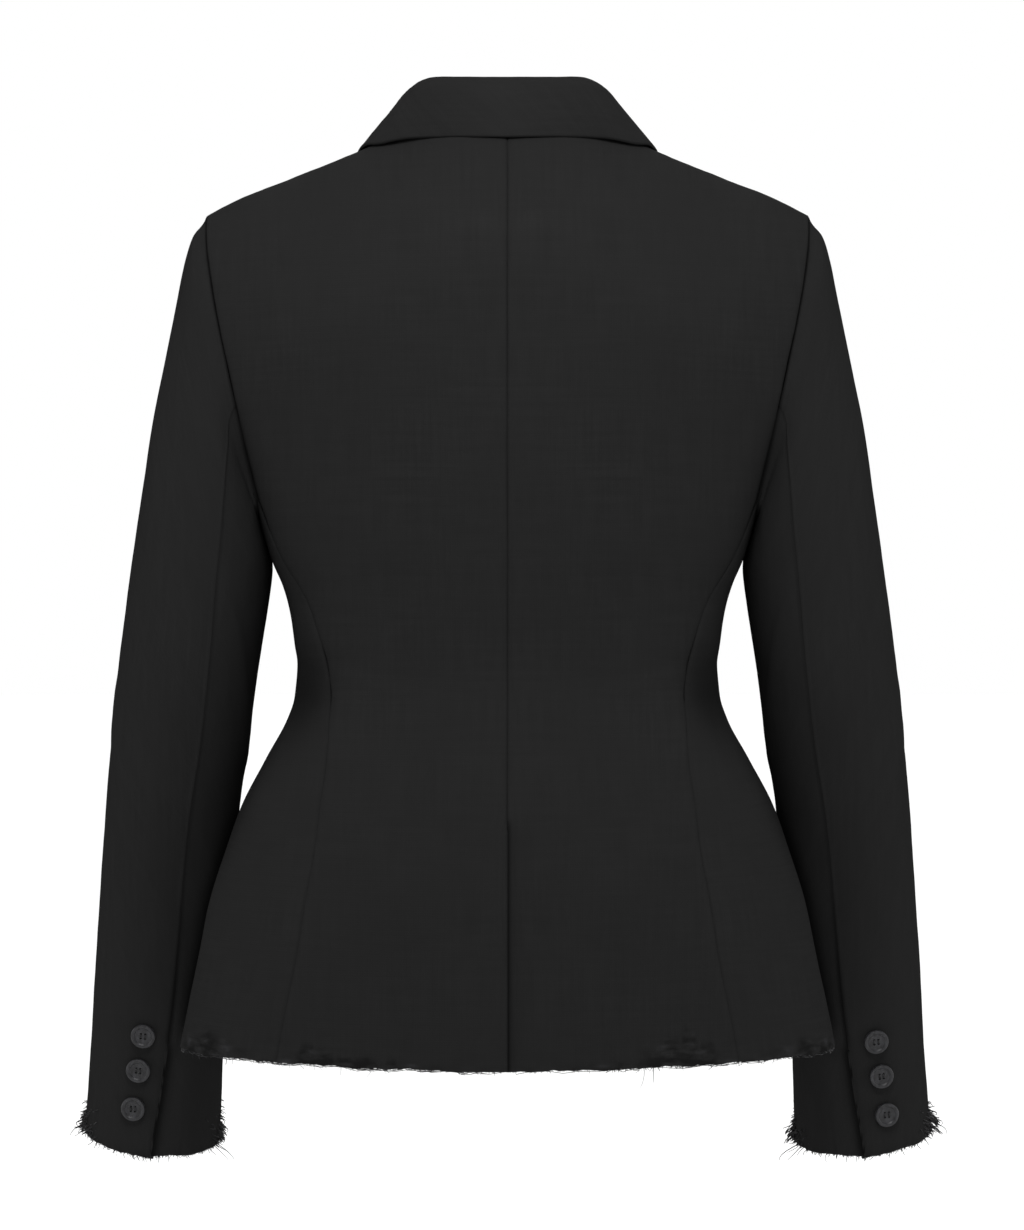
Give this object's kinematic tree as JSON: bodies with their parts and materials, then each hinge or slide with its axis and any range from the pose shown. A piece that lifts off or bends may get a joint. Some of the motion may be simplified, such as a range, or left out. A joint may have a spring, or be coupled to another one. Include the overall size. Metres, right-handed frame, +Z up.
{
  "type": "fitted jacket",
  "caption": "Fitted black wool jacket in its worn hollow shape, with notched collar, two-piece sleeves, flared hem, back vent and raw frayed edges.",
  "frame": {"origin": "midway between the shoulders, at the height where the collar meets them, where the wearer's shoulders hold the jacket", "axes": "+Z up, +Y towards the back of the jacket, -Y towards its front, +X towards the wearer's left sleeve"},
  "size_m": [0.5848, 0.2758, 0.7089],
  "materials": {
    "wool_cloth": "matte fine wool weave",
    "horn_button": "dull black horn",
    "wool_thread": "raw wool thread"
  },
  "bodies": {
    "root": {"back_left": "wool_cloth", "back_right": "wool_cloth", "side_left": "wool_cloth", "side_right": "wool_cloth", "front_left": "wool_cloth", "front_right": "wool_cloth", "lapel_left": "wool_cloth", "lapel_right": "wool_cloth", "collar": "wool_cloth", "collar_stand": "wool_cloth", "top_sleeve_left": "wool_cloth", "top_sleeve_right": "wool_cloth", "under_sleeve_left": "wool_cloth", "under_sleeve_right": "wool_cloth", "cuff_button_left_1": "horn_button", "cuff_button_left_2": "horn_button", "cuff_button_left_3": "horn_button", "cuff_button_right_1": "horn_button", "cuff_button_right_2": "horn_button", "cuff_button_right_3": "horn_button", "front_button_1": "horn_button", "front_button_2": "horn_button", "front_button_3": "horn_button", "hem_fray_left": "wool_thread", "hem_fray_right": "wool_thread", "cuff_fray_left": "wool_thread", "cuff_fray_right": "wool_thread"}
  },
  "joints": []
}
